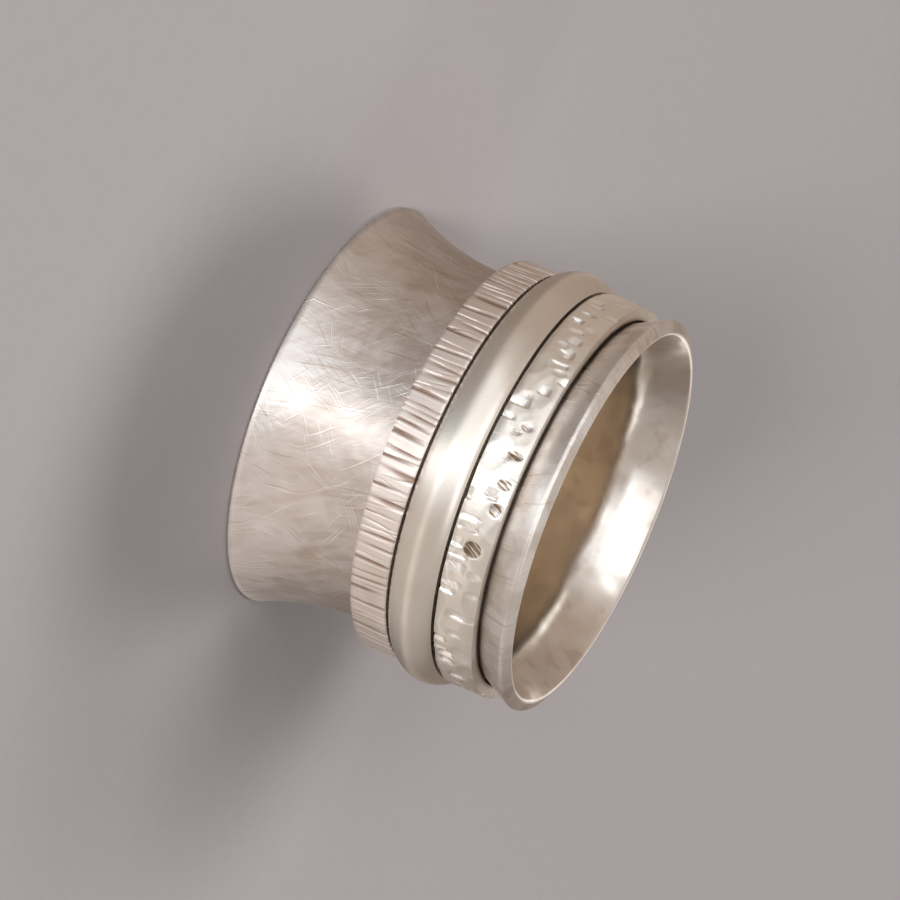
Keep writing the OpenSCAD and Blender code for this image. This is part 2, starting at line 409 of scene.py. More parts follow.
class Metal(Nodes):
    """The nodes of a metal, with its shader and the shared effects to lay on it."""

    def __init__(self, name):
        self.material = emptied(bpy.data.materials.new(name))
        super().__init__(self.material.node_tree)
        self.shader = self.add("ShaderNodeBsdfPrincipled", named={"Metallic": 1.0})
        self.add("ShaderNodeOutputMaterial", self.shader.outputs[0])
        self.place = self.add("ShaderNodeTexCoord").outputs["Object"]

    def use_group(self, tree, result, **values):
        made = self.add("ShaderNodeGroup", node_tree=tree, named={"Vector": self.place})
        for key, value in values.items():
            self.put(made.inputs[key.replace("_", " ")], value)
        return made.outputs[result]

    def hairs(self, twist, lines, runs, wander, part, width, seed):
        """Separate tapered scratches."""
        return self.use_group(
            scratch_group(), "Hairs", Twist=twist, Lines_per_Metre=lines, Runs_per_Metre=runs,
            Wander=wander, Share=part, Width=width, Seed=seed)

    def grain(self, twist, lines, runs, seed, wander=0.1):
        """An even grain of long streaks."""
        return self.use_group(
            scratch_group(), "Grain", Twist=twist, Lines_per_Metre=lines, Runs_per_Metre=runs,
            Wander=wander, Seed=seed)

    def patches(self, per_metre, low, high, seed):
        """Broad soft patches, which fade in between two levels."""
        return self.use_group(
            patch_group(), "Patches", Patches_per_Metre=per_metre, Low=low, High=high, Seed=seed)

    def attribute(self, name):
        return self.add("ShaderNodeAttribute", attribute_name=name).outputs["Fac"]

    def tint(self, tone, mask, part, c):
        """The tone, mixed toward a colour by a share of the mask."""
        return self.mix(self.times(mask, part, clamp=True), tone, c)

    def finish(self, tone, roughness, wear, relief, depth):
        """Joins the colour, the roughness with its wear, and a bump to the shader."""
        bump = self.add("ShaderNodeBump", named={"Strength": 1.0, "Distance": depth, "Height": relief})
        self.put(self.shader.inputs["Base Color"], tone)
        self.put(self.shader.inputs["Roughness"], self.math("ADD", roughness, wear))
        self.put(self.shader.inputs["Normal"], bump.outputs[0])
        return self.material


# Twist, lines and runs per metre, wander, share, width, strength, patches per metre
OUTSIDE_HAIRS = (
    (6.0, 6800.0, 230.0, 0.12, 0.80, 0.33, 1.00, 260.0),
    (-24.0, 7400.0, 260.0, 0.14, 0.75, 0.32, 0.85, 300.0),
    (34.0, 6800.0, 230.0, 0.12, 0.80, 0.33, 0.95, 260.0),
    (-62.0, 7600.0, 280.0, 0.14, 0.75, 0.32, 0.80, 330.0),
    (78.0, 6800.0, 230.0, 0.14, 0.80, 0.33, 0.90, 280.0),
    (150.0, 7200.0, 260.0, 0.16, 0.75, 0.32, 0.80, 350.0),
    (-170.0, 7600.0, 260.0, 0.16, 0.70, 0.32, 0.75, 380.0),
)
# Tarnish left between the scratches of the first rows, in the same patches
DARK_HAIRS = (
    (10.0, 6000.0, 220.0, 0.14, 0.85, 0.38, 0.90, 260.0),
    (-29.0, 6400.0, 240.0, 0.16, 0.80, 0.37, 0.80, 300.0),
    (29.0, 6000.0, 210.0, 0.14, 0.85, 0.38, 1.00, 260.0),
    (-68.0, 6600.0, 240.0, 0.16, 0.80, 0.37, 0.70, 330.0),
)
OUTSIDE_SEED, DARK_SEED = 1.0, 51.0
# Levels between which a patch of scratches fades in
HAIR_PATCH = (0.47, 0.62)
# How far the painted shade of a recess darkens its metal
RECESS_SHADE_TINT = 0.4
# Heights in millimetres: where the rim's painted highlight starts to fade and is gone, where the seat's
# painted shade starts, and how far the short flare's tone, with its painted highlight, takes to come in
RIM_HIGHLIGHT_FROM, RIM_HIGHLIGHT_TO, SEAT_SHADE_FROM, SHORT_FLARE_FADE = 0.5, 3.8, 3.0, 0.3
# The seat's painted shade fades out this far from the seat, and comes in over this height, in millimetres
UNDER_BAND_SHADE_OUT, UNDER_BAND_SHADE_UP = (0.05, 0.25), (-0.05, 0.1)


def scratched_material():
    """Silver rubbed by hand in many directions: each scratch shows."""
    f, s, n = finishes(), sizes(), Metal("scratch_brushed_silver")
    shade = rgb(f.warm_shade)

    def all_hairs(rows, seed):
        return n.total(*[
            (n.hairs(*hair, seed + i), strength, n.patches(patch, *HAIR_PATCH, OUTSIDE_SEED + i))
            for i, (*hair, strength, patch) in enumerate(rows)])

    hairs, dark = all_hairs(OUTSIDE_HAIRS, OUTSIDE_SEED), all_hairs(DARK_HAIRS, DARK_SEED)
    grain = n.total(
        (n.grain(twist=14.0, lines=5000.0, runs=420.0, seed=9.0), 0.5),
        (n.grain(twist=95.0, lines=4800.0, runs=480.0, seed=10.0), 0.5))
    warm = n.patches(230.0, low=0.42, high=0.66, seed=17.0)
    worn = n.patches(520.0, low=0.35, high=0.65, seed=18.0)
    hazy = n.patches(340.0, low=0.50, high=0.68, seed=19.0)
    streaks = n.ramp(n.grain(twist=30.0, lines=1500.0, runs=330.0, seed=20.0, wander=0.2), 0.42, 0.66)
    x, y, height = n.parted(n.place)
    # Painted highlight makes the flare lighter towards its rim, and painted shade makes it darker towards
    # the seat
    painted_rim_highlight = n.ramp(height, RIM_HIGHLIGHT_FROM * MM, RIM_HIGHLIGHT_TO * MM, 1.0, 0.0)
    painted_seat_shade = n.ramp(height, SEAT_SHADE_FROM * MM, BARK_BOX[0].z)
    tone = n.mix(
        n.total((warm, 0.2), (worn, 0.12), (streaks, 0.26), (grain, 0.12), (painted_seat_shade, 0.14)),
        rgb(f.scratched), shade)
    tone = n.tint(tone, painted_rim_highlight, 0.35, toward(f.scratched, WHITE, 0.6))
    tone = n.tint(tone, hazy, 0.35, toward(f.scratched, WHITE, 0.7))
    tone = n.tint(tone, dark, 0.8, shade)
    tone = n.tint(tone, hairs, 0.9, toward(f.scratched, WHITE, 0.95))
    # The short flare is painted lighter, a painted highlight, and is mottled. Tarnish stays in more of its
    # scratches
    bands_top = HAMMERED_BOX[1].z
    short_flare = n.ramp(height, bands_top, bands_top + SHORT_FLARE_FADE * MM)
    mottle = n.patches(620.0, low=0.46, high=0.62, seed=24.0)
    tone = n.tint(tone, short_flare, 0.7, toward(f.scratched, WHITE, 0.85))
    tone = n.tint(tone, n.times(mottle, short_flare), 0.35, shade)
    tone = n.tint(tone, n.times(dark, short_flare), 0.7, shade)
    # Painted shade darkens the seat beneath the loose bands
    out = n.add("ShaderNodeVectorMath", n.joined(x, y), operation="LENGTH").outputs["Value"]
    near_seat = [s.bore_r + s.wall + off * MM for off in UNDER_BAND_SHADE_OUT]
    past_flare = [BARK_BOX[0].z + off * MM for off in UNDER_BAND_SHADE_UP]
    under = n.times(n.ramp(out, *near_seat, 1.0, 0.0), n.ramp(height, *past_flare))
    return n.finish(
        tone=n.tint(tone, under, RECESS_SHADE_TINT, shade),
        roughness=f.scratched_roughness,
        wear=n.total((warm, 0.05), (worn, 0.05), (hazy, 0.05), (hairs, -0.1)),
        relief=n.total((hairs, 1.0), (grain, 1.4), (worn, 2.2)), depth=0.010 * MM)


def polished_material():
    """Polished silver, a little uneven from the mandrel, with faint marks of wear."""
    f, n = finishes(), Metal("polished_silver")
    hairs = n.total(
        (n.hairs(twist=190.0, lines=9500.0, runs=170.0, wander=0.2, part=0.35, width=0.32, seed=11.0), 1.0),
        (n.hairs(twist=-60.0, lines=9500.0, runs=200.0, wander=0.2, part=0.25, width=0.32, seed=12.0), 0.8))
    warm = n.patches(420.0, low=0.36, high=0.64, seed=13.0)
    dark = n.patches(900.0, low=0.55, high=0.70, seed=14.0)
    tone = n.mix(n.total((warm, 0.28), (dark, 0.22)), rgb(f.polished), rgb(f.warm_shade))
    slow, quick = n.noise(n.place, 420.0, 1.0), n.noise(n.place, 1100.0, 1.0)
    return n.finish(
        tone=n.tint(tone, hairs, 0.35, toward(f.polished, WHITE, 0.6)),
        roughness=f.polished_roughness, wear=n.total((warm, 0.06)),
        relief=n.total((slow, 26.0), (quick, 1.5), (hairs, 0.4)), depth=0.004 * MM)


def satin_material():
    """Smooth satin silver with a very fine even grain."""
    f, n = finishes(), Metal("satin_silver")
    grain = n.grain(twist=60.0, lines=9000.0, runs=1500.0, seed=21.0)
    marks = n.hairs(twist=-90.0, lines=9500.0, runs=220.0, wander=0.2, part=0.12, width=0.3, seed=22.0)
    warm = n.patches(330.0, low=0.4, high=0.7, seed=23.0)
    tone = n.mix(n.total((warm, 0.12), (grain, 0.08)), rgb(f.satin), rgb(f.warm_shade))
    tone = n.tint(tone, marks, 0.3, toward(f.satin, WHITE, 0.6))
    # Painted shade darkens the recesses
    return n.finish(
        tone=n.tint(tone, n.attribute("recess"), RECESS_SHADE_TINT, rgb(f.warm_shade)),
        roughness=f.satin_roughness, wear=n.total((warm, 0.05)),
        relief=n.total((grain, 1.0), (marks, 0.6)), depth=0.003 * MM)


def bark_material():
    """Chiselled silver: dull warm valleys and worn ridges."""
    f, n = finishes(), Metal("bark_silver")
    valley = n.ramp(n.attribute("cut"), 0.12, 0.75)
    nicks = n.total(
        (n.hairs(twist=11.0, lines=5200.0, runs=260.0, wander=0.05, part=0.5, width=0.34, seed=31.0), 1.0),
        (n.hairs(twist=-18.0, lines=5600.0, runs=300.0, wander=0.05, part=0.4, width=0.32, seed=32.0), 0.8))
    grain = n.grain(twist=4.0, lines=9000.0, runs=500.0, seed=33.0)
    warm = n.patches(500.0, low=0.4, high=0.66, seed=34.0)
    tone = n.mix(
        n.total((valley, 0.85), (nicks, 0.45), (grain, 0.12), (warm, 0.14)),
        rgb(f.bark), rgb(f.bark_valley))
    # Painted shade darkens the recesses
    return n.finish(
        tone=n.tint(tone, n.attribute("recess"), RECESS_SHADE_TINT, rgb(f.warm_shade)),
        roughness=f.bark_roughness, wear=n.total((valley, 0.1), (warm, 0.05)),
        relief=n.total((nicks, -2.0), (grain, 1.0)), depth=0.008 * MM)


def hammered_material():
    """Bright hammered silver. Its punch marks are striated, and some have a painted dark reflection."""
    f, n = finishes(), Metal("hammered_silver")
    punched = n.attribute("punched")
    grain = n.grain(twist=-40.0, lines=11000.0, runs=900.0, seed=41.0)
    hairs = n.hairs(twist=30.0, lines=9500.0, runs=260.0, wander=0.2, part=0.3, width=0.3, seed=42.0)
    dents = n.noise(n.place, 1700.0)
    warm = n.patches(420.0, low=0.4, high=0.66, seed=43.0)
    tone = n.mix(n.total((warm, 0.16), (grain, 0.08)), rgb(f.hammered), rgb(f.warm_shade))
    tone = n.tint(tone, hairs, 0.5, toward(f.hammered, WHITE, 0.8))
    tone = n.tint(tone, n.ramp(punched, 0.1, 0.5), 1.0, toward(f.hammered, WHITE, 0.6))
    # Painted dark reflection in some punch marks, broken by bright lines
    lines = n.ramp(grain, 0.42, 0.60, 1.0, 0.35)
    dark_reflection_marks = n.ramp(n.attribute("dark_reflection_marks"), 0.08, 0.35)
    tone = n.mix(n.times(dark_reflection_marks, lines), tone, rgb(f.painted_dark_reflection))
    # Painted shade darkens the recesses
    return n.finish(
        tone=n.tint(tone, n.attribute("recess"), RECESS_SHADE_TINT, rgb(f.warm_shade)),
        roughness=f.hammered_roughness, wear=n.total((warm, 0.05), (punched, -0.12)),
        relief=n.total((grain, 0.8), (grain, 2.0, punched), (dents, 2.6), (hairs, 0.5)),
        depth=0.008 * MM)


# The four pieces

# Steps round the ring, and along the section's curves and straights
RING_STEPS, HAMMERED_STEPS, TENT_STEPS = 480, 1440, 72
FLARE_STEPS, CROWN_STEPS, ROOT_STEPS, EDGE_STEPS, SEAT_STEPS, SLOPE_STEPS = 26, 40, 10, 6, 6, 4


def base_section():
    """Section of the base band: wide flare, straight seat and short flare, as one closed line."""
    s = sizes()
    seat_r = s.bore_r + s.wall
    edge = s.rim_edge_r
    bands_top = HAMMERED_BOX[1].z
    rise = s.band_play - s.root_gap
    short_z = bands_top - math.sqrt(2 * s.short_arc_r * rise - rise * rise)
    wide_c = (seat_r + s.wide_arc_r, s.wide_flare_h)
    short_c = (seat_r + s.short_arc_r, short_z)
    reach = s.wide_flare_h - edge
    outer_turn = math.degrees(math.asin(reach / s.wide_arc_r))
    inner_turn = math.degrees(math.asin(reach / (s.wide_arc_r + s.wall)))
    rim_out = wide_c[0] - math.sqrt(s.wide_arc_r ** 2 - reach ** 2)
    rim_in = wide_c[0] - math.sqrt((s.wide_arc_r + s.wall) ** 2 - reach ** 2)
    lean = math.degrees(s.short_flare_angle)

    def on_slope(x, y):
        c, t = math.cos(-s.short_flare_angle), math.sin(-s.short_flare_angle)
        return (short_c[0] + x * c - y * t, short_c[1] + x * t + y * c)

    in_x, out_x, slope = -s.short_arc_r - s.wall, -s.short_arc_r, s.short_slope_l - edge
    line = arc(wide_c, s.wide_arc_r, 180, 180 + outer_turn, FLARE_STEPS)
    line += arc((rim_out - edge, edge), edge, 0, -90, EDGE_STEPS)[1:]
    line += arc((rim_in + edge, edge), edge, -90, -180, EDGE_STEPS)
    line += arc(wide_c, s.wide_arc_r + s.wall, 180 + inner_turn, 180, FLARE_STEPS)[1:]
    line += spaced(line[-1], (s.bore_r, short_z), SEAT_STEPS)
    line += arc(short_c, s.short_arc_r + s.wall, 180, 180 - lean, ROOT_STEPS)
    line += [on_slope(in_x, slope * i / SLOPE_STEPS) for i in range(1, SLOPE_STEPS)]
    line += arc(on_slope(in_x + edge, slope), edge, 180 - lean, 90 - lean, EDGE_STEPS)
    line += arc(on_slope(out_x - edge, slope), edge, 90 - lean, -lean, EDGE_STEPS)
    line += [on_slope(out_x, slope * i / SLOPE_STEPS) for i in range(SLOPE_STEPS - 1, 0, -1)]
    line += arc(short_c, s.short_arc_r, 180 - lean, 180, ROOT_STEPS)
    line += spaced(line[-1], (seat_r, s.wide_flare_h), SEAT_STEPS)
    return line


def make_base_band():
    bm = spun(base_section(), RING_STEPS)
    # The outside keeps its scratches; faces that look at the axis are the polished inside
    for face in bm.faces:
        at = face.calc_center_median()
        inward = face.normal.x * at.x + face.normal.y * at.y
        face.material_index = 1 if inward < 0 else 0
    finish_piece(
        "base_band_sheet", bm, [scratched_material(), polished_material()],
        "base_band", "base")


# Share of a loose band's side, from its bore outwards, where its painted shade fades out
SIDE_FADE = 0.4


def loose_band(box):
    """Lowest and highest height of a loose band, its bore radius and the rounding of its bore."""
    s = sizes()
    return box[0].z, box[1].z, s.bore_r + s.wall + s.band_play, s.band_edge_r


def bore_corners(inner, outer, low, high, edge):
    """The rest of a loose band's section: down one side, along the bore and up the other side."""
    fade = inner + (outer - inner) * SIDE_FADE
    return [
        (fade, high), (inner + edge, high), (inner, high - edge),
        (inner, low + edge), (inner + edge, low), (fade, low)]


def near_bore(radius, inner, edge):
    """Where a loose band has the painted shade of its recess."""
    return radius < inner + 2 * edge


# Section across one groove, as shares of its width and of its depth
GROOVE_SHAPE = (
    (0.0, 0.0), (0.06, 0.45), (0.12, 0.9), (0.19, 1.0), (0.28, 0.72), (0.4, 0.36), (0.55, 0.14),
    (0.75, 0.04), (1.0, 0.0))
GROOVE_STEPS = 12
# Relative widths of the grooves, the most that a ridge leans, and the width that is cut to full depth
GROOVE_W_RANGE, RIDGE_LEAN_MAX, FULL_DEPTH_WIDTH = (0.45, 1.7), math.radians(1.1), 1.3
# Depth of a narrow and of a full groove, and depth at the far end of its run and at its own place
NARROW_DEPTH_RANGE, RUN_DEPTH_RANGE = (0.35, 1.0), (0.2, 1.0)
# Second ridge: the narrowest groove that has one, its height, where it may stand and its breadth
SECOND_WIDTH, SECOND_RISE, SECOND_PLACE, SECOND_BREADTH = 0.8, 0.38, (0.3, 0.65), 0.09
# Shares of the band's width where its skin has a row of points, and how its edges are worn
BARK_ROWS = (0, 0.02, 0.05, 0.09, 0.16, 0.26, 0.38, 0.5, 0.62, 0.74, 0.84, 0.91, 0.95, 0.98, 1)
BARK_EDGE_WEAR, BARK_EDGE_SHARE = 0.05 * MM, 0.05


def bark_relief():
    """Relative width of each groove, angle and lean of each ridge, and each groove's deepest place."""
    grooves = range(sizes().bark_grooves)
    widths = [between(GROOVE_W_RANGE, scatter(k, GROOVE_WIDTH) ** 2) for k in grooves]
    sums = np.concatenate([[0], np.cumsum(widths)])
    lean = [RIDGE_LEAN_MAX * (2 * scatter(k, RIDGE_LEAN) - 1) for k in grooves]
    runs = [scatter(k, GROOVE_RUN) for k in grooves]
    return np.array(widths), sums * math.tau / sums[-1], np.array(lean + lean[:1]), np.array(runs)


def make_bark_band():
    s = sizes()
    low, high, inner, edge = loose_band(BARK_BOX)
    outer, width = inner + s.bark_t, high - low
    section = [(outer, low + width * row) for row in BARK_ROWS] + bore_corners(inner, outer, low, high, edge)
    columns = s.bark_grooves * GROOVE_STEPS
    bm = spun(section, columns)
    angle, radius, height = turned(bm)
    widths, ridges, lean, runs = bark_relief()
    column = np.round((angle % math.tau) / math.tau * columns).astype(int) % columns
    k, part = column // GROOVE_STEPS, (column % GROOVE_STEPS) / GROOVE_STEPS
    across = (height - low) / width
    skin = radius > (outer + inner) / 2
    leaning = np.where(skin, across - 0.5, 0)
    start = ridges[k] + lean[k] * leaning
    end = ridges[k + 1] + lean[k + 1] * leaning
    broad = np.minimum(1, widths[k] / FULL_DEPTH_WIDTH)
    run = 0.5 + 0.5 * np.cos(math.pi * (across - runs[k]))
    depth = s.bark_groove_depth * between(NARROW_DEPTH_RANGE, broad) * between(RUN_DEPTH_RANGE, run)
    # A second, lower ridge stands in the broader grooves
    off = (part - between(SECOND_PLACE, runs[k])) / SECOND_BREADTH
    second = np.where(widths[k] > SECOND_WIDTH, SECOND_RISE, 0.0) * np.exp(-off ** 2)
    cut = depth * np.maximum(0, np.interp(part, *zip(*GROOVE_SHAPE)) - second)
    from_edge = np.minimum(across, 1 - across)
    edge_wear = BARK_EDGE_WEAR * np.clip(1 - from_edge / BARK_EDGE_SHARE, 0, 1) ** 2
    set_turned(
        bm, start + (end - start) * part, np.where(skin, outer - cut - edge_wear, radius), height)
    finish_piece(
        "bark_band_silver", bm, [bark_material()], "bark_band", "bark_spinner",
        sharp_deg=50,
        attributes={
            "cut": np.where(skin, cut / s.bark_groove_depth, 0),
            "recess": near_bore(radius, inner, edge),
        })


def make_domed_band():
    s = sizes()
    low, high, inner, edge = loose_band(DOMED_BOX)
    crown, side, width = DOMED_BOX[1].x, inner + s.dome_side_t, high - low
    rise = crown - side
    crown_r = (width * width / 4 + rise * rise) / (2 * rise)
    half = math.degrees(math.asin(width / 2 / crown_r))
    section = arc((crown - crown_r, (low + high) / 2), crown_r, -half, half, CROWN_STEPS)
    section += bore_corners(inner, side, low, high, edge)
    bm = spun(section, RING_STEPS)
    _, radius, _ = turned(bm)
    finish_piece(
        "domed_band_silver", bm, [satin_material()], "domed_band", "domed_spinner",
        sharp_deg=35, attributes={"recess": near_bore(radius, inner, edge)})


# Oval punch marks: angle in degrees, place across the band, half length round the band and half
# width in millimetres, share of the punch depth, and how much of it has a painted dark reflection
PUNCH_MARKS = (
    (-147, 0.40, 0.24, 0.36, 0.7, 0.0), (-140, 0.66, 0.26, 0.40, 0.6, 0.0),
    (-131, 0.38, 0.24, 0.36, 0.7, 0.0), (-122, 0.72, 0.28, 0.46, 0.8, 0.0),
    (-112, 0.34, 0.32, 0.36, 0.6, 0.0), (-104, 0.68, 0.26, 0.40, 0.7, 0.5),
    (-96, 0.72, 0.28, 0.52, 1.0, 1.0), (-88, 0.77, 0.30, 0.44, 0.9, 1.0),
    (-81, 0.78, 0.40, 0.36, 1.0, 1.0), (-69, 0.56, 0.52, 0.56, 1.0, 0.8),
    (-62, 0.78, 0.26, 0.44, 0.8, 0.0), (-56, 0.80, 0.24, 0.38, 0.7, 0.0),
)
# The run of punch marks comes this often round the band
PUNCH_RUNS = 3
# Facets and chips: how far each strays from its even place, its seed, its half length round the
# band, its half width, and its share of the facet depth or of the punch depth
FACETS = (0.8, FACET_SEED, (0.65, 1.1), (0.5, 0.8), (0.45, 1))
CHIPS = (1, CHIP_SEED, (0.18, 0.36), (0.3, 0.6), (0.9, 1.7))
# The share of chips that face the other way, and how far along its slope a chip is deepest
CHIPS_REVERSED, CHIP_DEEPEST = 0.4, 0.65
# Even rows across the hammered skin, one more row close to each edge, and how late the edge drops
HAMMERED_ROWS, HAMMERED_EDGE_ROW, EDGE_DROP_POWER = 24, 0.015, 6


def bowl(u, v):
    """Depth of a round mark, from 0 at its edge to 1 in its middle."""
    return 1 - u * u - v * v


def chisel(u, v):
    """Depth of a chip with a long even slope on one side and a steep wall on the other."""
    slope, steep = (1 + u) / (1 + CHIP_DEEPEST), (1 - u) / (1 - CHIP_DEEPEST)
    return np.minimum(slope, steep) * (1 - v ** 4) * (np.abs(v) < 1)


def scattered_marks(count, deepest, stray, seed, half_l, half_w, part):
    """Marks all round: angle, place across the band, half length, half width and depth of each."""
    return [
        (math.tau * (k + stray * scatter(k, seed)) / count, scatter(k, seed + 1),
         between(half_l, scatter(k, seed + 2)) * MM, between(half_w, scatter(k, seed + 3)) * MM,
         between(part, scatter(k, seed + 4)) * deepest)
        for k in range(count)
    ]


def make_hammered_band():
    s = sizes()
    low, high, inner, edge = loose_band(HAMMERED_BOX)
    outer, width = inner + s.hammered_t, high - low
    rows = [i / HAMMERED_ROWS for i in range(HAMMERED_ROWS + 1)]
    rows = sorted(rows + [HAMMERED_EDGE_ROW, 1 - HAMMERED_EDGE_ROW])
    section = [(outer, low + width * row) for row in rows] + bore_corners(inner, outer, low, high, edge)
    bm = spun(section, HAMMERED_STEPS)
    angle, radius, height = turned(bm)
    across = (height - low) / width
    skin = radius > (outer + inner) / 2
    facets = scattered_marks(s.hammer_facets, s.facet_depth, *FACETS)
    chips = [
        (at, place, half_l if scatter(k, CHIP_SIDE) > CHIPS_REVERSED else -half_l, half_w, depth)
        for k, (at, place, half_l, half_w, depth)
        in enumerate(scattered_marks(s.hammer_chips, s.punch_depth, *CHIPS))
    ]
    # How much painted dark reflection each punch mark has
    punches, dark_reflection_marks = [], []
    for run in range(PUNCH_RUNS):
        for at, place, half_l, half_w, depth, painted_dark_reflection in PUNCH_MARKS:
            mark = (math.radians(at) + run * math.tau / PUNCH_RUNS, place, half_l * MM, half_w * MM)
            punches.append(mark + (depth * s.punch_depth,))
            dark_reflection_marks.append(mark + (painted_dark_reflection,))

    def cut_by(marks, shape=bowl):
        deepest = np.zeros(len(angle))
        for at, place, half_l, half_w, depth in marks:
            turn = (angle - at) / math.tau
            u = (turn - np.round(turn)) * math.tau * outer / half_l
            v = (across - place) * width / half_w
            deepest = np.maximum(deepest, depth * np.maximum(0, shape(u, v)))
        return deepest

    facet_cut, punch_cut, chip_cut = cut_by(facets), cut_by(punches), cut_by(chips, chisel)
    drop = s.hammered_edge_drop * np.abs(2 * across - 1) ** EDGE_DROP_POWER
    cut = facet_cut + np.maximum(punch_cut, chip_cut)
    set_turned(bm, angle, np.where(skin, outer - drop - cut, radius), height)
    finish_piece(
        "hammered_band_silver", bm, [hammered_material()], "hammered_band", "hammered_spinner",
        sharp_deg=50,
        attributes={
            "punched": np.where(skin, np.maximum(punch_cut, chip_cut) / s.punch_depth, 0),
            "dark_reflection_marks": np.where(skin, cut_by(dark_reflection_marks), 0),
            "recess": near_bore(radius, inner, edge),
        })


# Floor, light and camera

def stage_object(name, bm, material):
    made = new_object(name, bm, [material])
    return made


# The ring throws the tent's light back on the floor, more than in the photograph, so the floor's colour has
# soft painted shades near it: centre, the millimetres that each runs over, and its depth
PAINTED_FLOOR_SHADES = (
    ((0.008, -0.007, 0.0), 10.0, 30.0, 0.22),
    ((0.013, 0.009, 0.0), 4.0, 20.0, 0.28),
)
FLOOR_SIZE, FLOOR_DROP = 3.0, 0.01 * MM
# The floor's faint mottle: spots per metre, and how much darker and lighter it gets
FLOOR_SPOTS, FLOOR_DARKER, FLOOR_LIGHTER = 900.0, 0.03, 0.04


def make_floor():
    material = emptied(bpy.data.materials.new("plain_floor"))
    n = Nodes(material.node_tree)
    shader = n.add("ShaderNodeBsdfPrincipled", named={"Roughness": 1.0, "Specular IOR Level": 0.0})
    n.add("ShaderNodeOutputMaterial", shader.outputs[0])
    place = n.add("ShaderNodeTexCoord").outputs["Object"]
    mottle = n.noise(place, FLOOR_SPOTS, 3.0)
    base = studio().floor
    tone = n.mix(mottle, toward(base, BLACK, FLOOR_DARKER), toward(base, WHITE, FLOOR_LIGHTER))
    # Each painted shade darkens the floor's colour near the ring
    for centre, start, end, depth in PAINTED_FLOOR_SHADES:
        off = n.add("ShaderNodeVectorMath", place, centre, operation="DISTANCE").outputs["Value"]
        tone = n.mix(n.ramp(off, start * MM, end * MM, depth, 0.0), tone, rgb(BLACK))
    n.put(shader.inputs["Base Color"], tone)
    bm = bmesh.new()
    bmesh.ops.create_grid(bm, x_segments=1, y_segments=1, size=FLOOR_SIZE)
    bmesh.ops.translate(bm, verts=bm.verts[:], vec=(0, 0, BASE_BOX[0].z - FLOOR_DROP))
    stage_object("floor", bm, material)


# Glow of the light tent by direction, at three heights. 0 degrees is the camera's side and
# 90 the ring's right: (direction, strength, tint)
PALE, BEIGE, BROWN = (1.0, 0.985, 0.975), (1.0, 0.89, 0.81), (1.0, 0.80, 0.67)
LOW_GLOW = (
    (-180, 1.30, BEIGE), (-167, 0.70, BEIGE), (-152, 0.41, BROWN), (-135, 0.45, BROWN),
    (-90, 0.46, BROWN), (-70, 0.49, BROWN), (-45, 0.55, BEIGE), (-30, 0.60, BEIGE),
    (-19, 0.66, PALE), (-8, 0.92, PALE), (0, 2.20, PALE), (10, 2.40, PALE),
    (16, 1.20, PALE), (24, 0.98, BEIGE), (45, 0.94, BEIGE), (85, 0.72, BEIGE),
    (115, 0.38, BEIGE), (150, 0.28, BROWN), (166, 0.70, BEIGE), (180, 1.30, BEIGE),
)
MIDDLE_GLOW = (
    (-180, 1.30, BEIGE), (-167, 0.70, BEIGE), (-152, 0.35, BROWN), (-135, 0.38, BROWN),
    (-100, 0.43, BROWN), (-75, 0.46, BROWN), (-60, 0.49, BEIGE), (-45, 0.68, BEIGE),
    (-36, 1.10, PALE), (-19, 1.15, PALE), (-8, 1.30, PALE), (5, 1.50, PALE),
    (15, 0.90, PALE), (26, 0.54, BEIGE), (45, 0.55, BEIGE), (85, 0.48, BEIGE),
    (105, 0.36, BEIGE), (120, 0.22, BROWN), (150, 0.26, BROWN), (166, 0.70, BEIGE),
    (180, 1.30, BEIGE),
)
HIGH_GLOW = (
    (-180, 0.50, BEIGE), (-145, 0.54, BROWN), (-100, 0.52, BROWN), (-70, 0.62, BEIGE),
    (-48, 0.72, BEIGE), (-36, 2.00, PALE), (33, 1.90, PALE), (43, 0.64, PALE),
    (54, 0.52, BEIGE), (95, 0.48, BEIGE), (130, 0.50, BEIGE), (180, 0.50, BEIGE),
)
# Heights in millimetres between which each later level takes over
GLOW_LEVELS = ((MIDDLE_GLOW, 3.0, 11.0), (HIGH_GLOW, 33.0, 45.0))
# Strength of the brightest stop, which the ramps' colours are a share of
TENT_TOP_GLOW = 2.4
# The ceiling's colour, and the heights in millimetres between which it takes over from the wall
CEILING_GLOW, CEILING_FROM, CEILING_TO = (0.62, 0.57, 0.52), 50.0, 66.0
# Wall and ceiling, as shares of the tent's radius and height
TENT_SHAPE = ((1.0, 0.68), (0.95, 0.8), (0.8, 0.91), (0.55, 0.98), (0.28, 1.0), (0.001, 1.0))
# The tent's floor: its inner radius and height in millimetres, its share of the glow, and the
# height where the wall has the whole of it
TENT_FOOT_R, TENT_FOOT_H, TENT_FOOT_SHARE, TENT_FOOT_TO = 11.4, 0.05, 0.62, 3.0
# The warm disc inside the ring, in millimetres
BORE_GLOW_R, BORE_GLOW_H, BORE_GLOW_STEPS = 8.5, 0.2, 48


def glow_material(name):
    material = emptied(bpy.data.materials.new(name))
    n = Nodes(material.node_tree)
    glow = n.add("ShaderNodeEmission")
    n.add("ShaderNodeOutputMaterial", glow.outputs[0])
    return material, n, glow


def glow_ramp(n, part, glows):
    """A colour ramp that runs once round the ring."""
    made = n.add("ShaderNodeValToRGB", part)
    stops = made.color_ramp.elements
    while len(stops) < len(glows):
        stops.new(0.5)
    for stop, (at, strength, tint) in zip(stops, glows):
        stop.position = at / 360 + 0.5
        stop.color = rgb([c * strength / TENT_TOP_GLOW for c in tint])
    return made.outputs["Color"]


